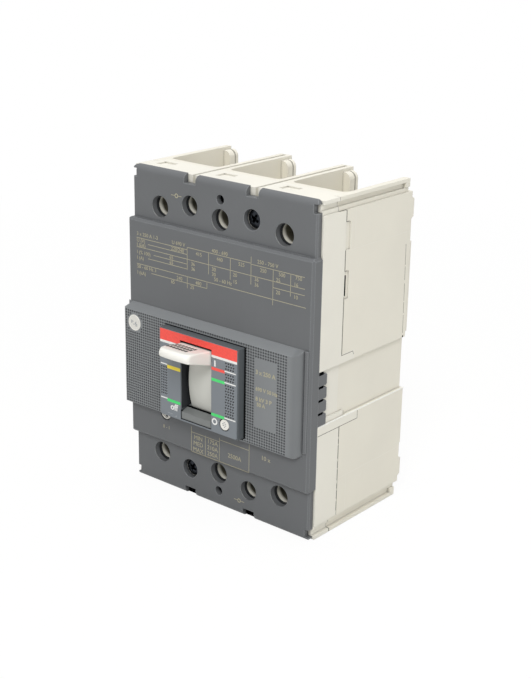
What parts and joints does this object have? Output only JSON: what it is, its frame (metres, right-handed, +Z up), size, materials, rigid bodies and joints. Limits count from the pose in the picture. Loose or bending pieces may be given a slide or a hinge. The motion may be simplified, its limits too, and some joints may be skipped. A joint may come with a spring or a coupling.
{
  "type": "moulded case circuit breaker",
  "caption": "Three-pole moulded case circuit breaker with a stepped dark front, wide toggle in a printed escutcheon, trip button, and open terminal bays at both ends of a light case",
  "frame": {"origin": "centre of the flat rear mounting face", "axes": "X runs across the poles to the viewer's right, Y from the front to the panel behind, Z up from the load end to the line end"},
  "size_m": [0.105, 0.0925, 0.15],
  "materials": {
    "case_plastic": "fine spark-eroded moulded thermoset, ivory grey",
    "cover_plastic": "satin moulded plastic, dark grey",
    "nose_plastic": "moulded plastic with a fine dimple grid, dark grey",
    "face_print": "printed plate, blue grey with a red band",
    "pad_plastic": "satin moulded plastic, mid grey",
    "drum_plastic": "smooth moulded plastic, light grey",
    "knob_plastic": "smooth moulded plastic, off white",
    "white_cap": "satin white plastic",
    "black_screw": "black oxide steel",
    "bright_washer": "zinc plated steel",
    "shaft_steel": "turned steel",
    "tinned_copper": "tin plated copper bar"
  },
  "bodies": {
    "case": {"rear_base": "case_plastic", "back_plate": "case_plastic", "front_housing": "case_plastic", "front_cover": "cover_plastic", "nose": "nose_plastic", "escutcheon": "cover_plastic", "face_plate": "face_print", "window_pad": "pad_plastic", "toggle_shaft": "shaft_steel", "seal_disc": "white_cap", "cover_screw_top": "black_screw", "cover_screw_bottom": "black_screw", "screw_ring_top": "bright_washer", "screw_ring_bottom": "bright_washer", "cover_comb_right": "cover_plastic", "cover_comb_left": "cover_plastic", "line_front_wall": "case_plastic", "line_bay_wall_1": "case_plastic", "line_bay_wall_2": "case_plastic", "line_bay_wall_3": "case_plastic", "line_bay_wall_4": "case_plastic", "load_front_wall": "case_plastic", "load_bay_wall_1": "case_plastic", "load_bay_wall_2": "case_plastic", "load_bay_wall_3": "case_plastic", "load_bay_wall_4": "case_plastic", "line_terminal_1": "tinned_copper", "line_terminal_2": "tinned_copper", "line_terminal_3": "tinned_copper", "load_terminal_1": "tinned_copper", "load_terminal_2": "tinned_copper", "load_terminal_3": "tinned_copper"},
    "toggle": {"toggle_drum": "drum_plastic", "toggle_knob": "knob_plastic"},
    "button": {"trip_button": "white_cap"},
    "dial": {"selector_dial": "white_cap"}
  },
  "joints": [
    {"name": "toggle_swing", "type": "hinge", "parent": "case", "child": "toggle", "pos_m": [-0.0044, -0.0327, -0.014], "axis": [1, 0, 0], "range_deg": [0, 31]},
    {"name": "trip_button_press", "type": "slide", "parent": "case", "child": "button", "axis": [0, 1, 0], "range_m": [0, 0.002], "stiffness_N_per_m": 400, "springref_m": -0.0005},
    {"name": "selector_turn", "type": "hinge", "parent": "case", "child": "dial", "pos_m": [-0.0303, -0.0696, -0.0369], "axis": [0, 1, 0], "range_deg": [-60, 60]}
  ]
}
